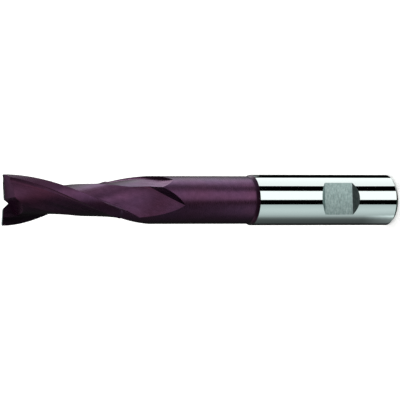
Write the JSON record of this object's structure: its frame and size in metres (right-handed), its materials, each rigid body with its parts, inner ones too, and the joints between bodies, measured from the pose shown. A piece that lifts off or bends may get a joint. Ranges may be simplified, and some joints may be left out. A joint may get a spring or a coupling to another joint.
{
  "type": "slot drill",
  "caption": "Cylindrical slot drill with right-hand helical flutes, end teeth, a reduced neck and a straight shank with a clamping flat.",
  "frame": {"origin": "centre of the flat end of the shank", "axes": "+Z along the tool axis from the shank to the cutting end; the first tooth's corner starts at +X; the clamping flat faces nearly -Y"},
  "size_m": [0.016, 0.016, 0.1334],
  "materials": {
    "coated_tool_steel": "violet-brown hard coating on the cutting end and neck, bright ground steel on the shank"
  },
  "bodies": {
    "root": {"slot_drill": "coated_tool_steel"}
  },
  "joints": []
}
